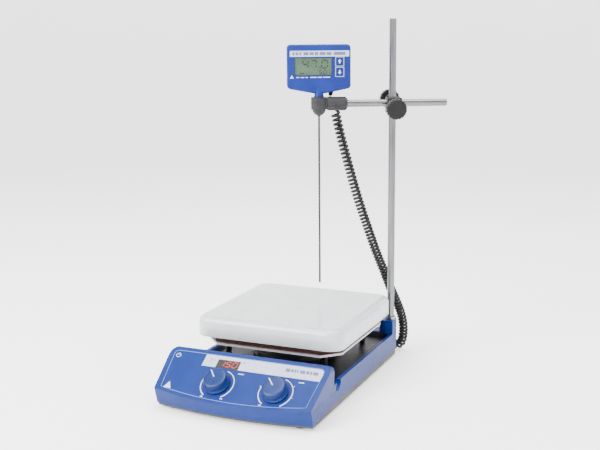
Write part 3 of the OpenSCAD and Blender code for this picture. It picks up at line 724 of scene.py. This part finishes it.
def bowed_edge(x, inset):
    """How far up the panel its bowed lower edge lies, at a distance x from the centre line, in mm."""
    bow = (HALF_W ** 2 + FRONT_BOW ** 2) / (2 * FRONT_BOW)
    slope = math.atan2(UP_PANEL.z, UP_PANEL.y)
    origin = PANEL.translation / mm
    low, high = -20.0, 30.0
    for _ in range(40):
        t = (low + high) / 2
        y = origin.y + t * math.cos(slope)
        z = origin.z + t * math.sin(slope)
        outside = math.hypot(x, y - (bow + FRONT_Y)) > bow + z * FRONT_LEAN - inset
        low, high = (t, high) if outside else (low, t)
    return (low + high) / 2


def panel_outline(inset):
    """Points round the panel's sheet, in its own plane, in mm."""
    lean = math.atan(SIDE_LEAN)
    turn = CORNER_R - inset
    side = CORNER_X + turn * math.cos(lean) - SIDE_LEAN * CORNER_UP
    along = [-side + 2 * side * i / 48 for i in range(49)]
    points = [(x, bowed_edge(x, FILM_INSET + inset)) for x in along]
    for way in (1, -1):
        arc = []
        for k in range(9):
            a = -lean + (math.pi / 2 + lean) * k / 8
            arc.append((way * (CORNER_X + turn * math.cos(a)), CORNER_UP + turn * math.sin(a)))
        points += arc if way == 1 else arc[::-1]
    return points


def add_panel_rim():
    """A thin raised line round the panel's sheet, coloured light blue as a painted highlight of the edge."""
    bm = bmesh.new()
    radius = 0.42
    outline = [PANEL @ Vector((x * mm, y * mm, ON_STRIP)) for x, y in panel_outline(0.35)]
    count = len(outline)
    rings = []
    for i, p in enumerate(outline):
        way = (outline[(i + 1) % count] - outline[i - 1]).normalized()
        out = way.cross(PANEL_NORMAL)
        rings.append([p + (out * math.cos(a) + PANEL_NORMAL * math.sin(a)) * radius * mm
                      for a in (math.pi * k / 4 for k in range(8))])
    skin(bm, rings + rings[:1], False, False)
    bmesh.ops.remove_doubles(bm, verts=bm.verts, dist=1e-7)
    new_piece("panel_rim", bm, "base", RIM_HIGHLIGHT)


def strip_outline():
    """The white strip along the panel's top, hollowed round the two knobs."""
    left, right, low, high, clear = -58.5, 102.2, 43.0, 61, 24.6
    points = []
    for i in range(81):
        x = left + (right - left) * i / 80
        y = low
        for knob_x in (HEAT_X, SPEED_X):
            reach = clear ** 2 - (x - knob_x) ** 2
            if reach > 0:
                y = max(y, KNOB_UP + math.sqrt(reach))
        points.append((x, y))
    return points + [(103.1, 54), (102.6, 57.6), (101.2, 59.8), (98.5, high), (left, high)]


def bars(spans, low, high):
    """A row of plain bars between two heights."""
    return [bar(x0, low, x1, high) for x0, x1 in spans]


def round_knob(knob_x, turn, radius):
    """The point at a clock angle round a knob's centre."""
    a = math.radians(90 - turn)
    return knob_x + radius * math.cos(a), KNOB_UP + radius * math.sin(a)


def knob_scale(knob_x):
    """Two tapered arcs beside a knob, with a dash at the lower end of each."""
    radius, dash_r, dash_half = 21.6, 24.6, 1.8
    marks = [arc_band(knob_x, KNOB_UP, radius, 212, 288, 1.5, 0.9),
             arc_band(knob_x, KNOB_UP, radius, 15, 146, 0.9, 1.5)]
    for turn in (146, 212):
        x, y = round_knob(knob_x, turn, dash_r)
        marks.append(stroke(x - dash_half, y, x + dash_half, y, 1.3))
    return marks


def add_strip():
    print_on("white_strip", [strip_outline()], PANEL, "base", STRIP, lift=ON_FILM)
    print_on("window_edge", [bar(-39.2, 43.0, -7.8, 56.0)], PANEL, "base", TINTED, lift=ON_STRIP)
    figures = seven_segments("150", x=-35.5, y=45.6, height=8, pitch=8.8, line=1.15, slant=0.14)
    print_on("heat_figures", figures, PANEL, "base", RED, lift=ON_WINDOW)
    spans = ((54, 60), (61.2, 64.4), (65.6, 68), (69.2, 71), (73, 80), (81.4, 85), (86.2, 89), (90.4, 97))
    print_on("strip_bars", bars(spans, 51.2, 56), PANEL, "base", INK, lift=ON_STRIP)
    small = [bar(-50.5, 53.5, -48, 56), bar(-46.5, 53, -43, 54.2), bar(-50, 50.4, -47.5, 51.4)]
    print_on("strip_marks", small, PANEL, "base", RED_INK, lift=ON_STRIP)
    beside = [bar(-5.4, 54.5, -3.6, 55.6), bar(-2.6, 53.6, -1.6, 56)]
    print_on("strip_small", beside, PANEL, "base", INK, lift=ON_STRIP)


def add_panel_marks():
    """Scales round the knobs, two dashes, an on-off sign and a plain triangle."""
    marks = knob_scale(HEAT_X) + knob_scale(SPEED_X)
    for turn in (58, 100, 285):
        marks.append(stroke(*round_knob(SPEED_X, turn, 21), *round_knob(SPEED_X, turn, 24.2), 0.8))
    marks += bars(((-4.7, 3.2), (77, 84)), 37.2, 38.5)
    marks.append(arc_band(-97, 54, 3, 35, 325, 0.8, 0.8))
    marks.append(stroke(-97, 54.5, -97, 58.3, 0.8))
    marks.append([(-95.5, 2.4), (-84.5, 2.4), (-90, 12.6)])
    print_on("panel_marks", marks, PANEL, "base", WHITE, lift=ON_FILM)


# Radius and height, from the knob's foot to its top.
KNOB_PROFILE = [(14.8, 0.6), (16.1, 0.75), (16.45, 1.2), (16.45, 2.3), (16.1, 2.9), (15.9, 3.3),
                (15.5, 6), (15.0, 9), (14.6, 11.4), (14.35, 12.1), (13.9, 12.6), (13.2, 12.9),
                (12.2, 13.0), (6.0, 12.85)]
RIBBED = range(5, 9)
RIB_COUNT, RIB_DEPTH = 45, 0.42 * mm
KNOB_TOP = 12.9 * mm


def add_knob(name, body, point):
    """A ribbed knob with a pointer line on its top."""
    bm = bmesh.new()
    profile = [(r * mm, h * mm) for r, h in KNOB_PROFILE]

    def ribs(angle, index):
        return -RIB_DEPTH * (0.5 - 0.5 * math.cos(angle * RIB_COUNT)) if index in RIBBED else 0.0

    lathe(bm, profile, point, PANEL_NORMAL, 360, ribs)
    new_piece(name + "_grip", bm, body, KNOB, (name,))
    where = place(point + PANEL_NORMAL * KNOB_TOP, RIGHT, UP_PANEL)
    print_on(name + "_pointer", [stroke(-1.0, 1.3, -9.0, 10.6, 1.2)], where, body, WHITE, 0.12 * mm, 0.0)


# ---- heating plate ----

PLATE_R = 21 * mm


def add_plate():
    """The plate as a smooth shell: rounded shoulders, and a hollow underneath."""
    half_x, half_y = (plate_high.x - plate_low.x) / 2, (plate_high.y - plate_low.y) / 2
    high = plate_high.z - plate_low.z
    rim, hollow, shoulder_in, shoulder_down = -6.2, 17.8, 9.5, 9
    profile = [(rim, hollow), (rim, 0.1), (-1.4, 0.0), (-0.5, 0.25), (0, 1.0), (-0.45, high / mm - 11)]
    for k in range(13):
        a = math.pi / 2 * k / 12
        inward = -0.5 - shoulder_in * (1 - math.cos(a))
        profile.append((inward, high / mm - shoulder_down + shoulder_down * math.sin(a)))
    rings = []
    for inward, z in profile:
        reach = inward * mm
        outline = rounded_outline(half_x + reach, half_y + reach, PLATE_R + reach, 20)
        rings.append([Vector((plate_centre.x + x, plate_centre.y + y, plate_low.z + z * mm))
                      for x, y in outline])
    bm = bmesh.new()
    skin(bm, rings)
    new_piece("plate_body", bm, "base", CERAMIC, ("heating_plate",))


# ---- stand ----

def add_stand():
    softened("boss_head", 1.3 * mm, "boss", DARK)
    softened("boss_front_screw", 0.5 * mm, "front_screw", BLACK)
    softened("boss_rear_screw", 0.5 * mm, "rear_screw", BLACK)
    softened("clamp_body", 0.9 * mm, "clamp", DARK)
    softened("clamp_nut", 0.4 * mm, "clamp_ring", DARK)
    softened("rod_nut", 0.4 * mm, "base", ZINC)


# ---- thermometer ----

METER_FACE, METER_GLASS, KEY_FACE = 11 * mm, 9.82 * mm, 11.3 * mm
KEY_X, KEY_UP, KEY_DOWN = 28.1, 36.9, 22.9


def arrow(x, y, way):
    """An arrow that points up for way 1 and down for way -1."""
    half_head, half_stem = 2.4, 0.9
    tip, neck, tail = y + 3.2 * way, y + 0.2 * way, y - 2.6 * way
    return [(x, tip), (x - half_head, neck), (x - half_stem, neck), (x - half_stem, tail),
            (x + half_stem, tail), (x + half_stem, neck), (x + half_head, neck)]


def frame_lines(x0, y0, x1, y1, line):
    """Four bars that outline a rectangle."""
    return [bar(x0, y0, x1, y0 + line), bar(x0, y1 - line, x1, y1),
            bar(x0, y0 + line, x0 + line, y1 - line), bar(x1 - line, y0 + line, x1, y1 - line)]


def add_meter_strip():
    print_on("meter_strip", [bar(-39.4, 43.6, 41, 51.5)], METER, "meter", STRIP, lift=METER_FACE)
    spans = ((-36, -33), (-31.6, -28), (-26.6, -24), (-21, -14), (-12.6, -7), (-5.6, -1), (1, 9),
             (10.4, 17), (20, 36))
    print_on("meter_bars", bars(spans, 45.6, 49.6), METER, "meter", INK, 0.05 * mm, METER_FACE + 0.08 * mm)


def add_meter_figures():
    large = dict(y=28.2, height=10.5, pitch=11, line=1.5, slant=0.08)
    small = dict(y=20.2, height=5.2, pitch=6, line=0.9, slant=0.08)
    figures = seven_segments("47", x=-22.5, **large) + seven_segments("0", x=3.5, **large)
    figures.append(bar(0.4, 28, 2.2, 29.8))
    figures += seven_segments("50", x=0, **small)
    figures.append(bar(-26, 20.6, -20, 21.8))
    print_on("meter_figures", figures, METER, "meter", LCD_INK, 0.05 * mm, METER_GLASS)


def add_meter_marks():
    marks = [[(-39.6, 14.6), (-34.4, 14.6), (-37, 19)]]
    marks += bars(((-31, -27), (-25, -20), (-18.4, -15), (-12, -3), (-1.6, 4), (5.6, 15)), 15.4, 16.5)
    for y in (KEY_UP, KEY_DOWN):
        marks += frame_lines(22.2, y - 6.4, 34, y + 6.4, 0.5)
    print_on("meter_marks", marks, METER, "meter", WHITE, lift=METER_FACE)
    print_on("up_arrow", [arrow(KEY_X, KEY_UP, 1)], METER, "up_key", WHITE, lift=KEY_FACE)
    print_on("down_arrow", [arrow(KEY_X, KEY_DOWN, -1)], METER, "down_key", WHITE, lift=KEY_FACE)


add_camera()
add_cords()
dress_cad_nodes()
add_base()
add_panel_rim()
add_strip()
add_panel_marks()
add_knob("heat_knob", "heat_control", heat_point)
add_knob("speed_knob", "speed_control", speed_point)
add_plate()
add_stand()
add_meter_strip()
add_meter_figures()
add_meter_marks()
add_stage()
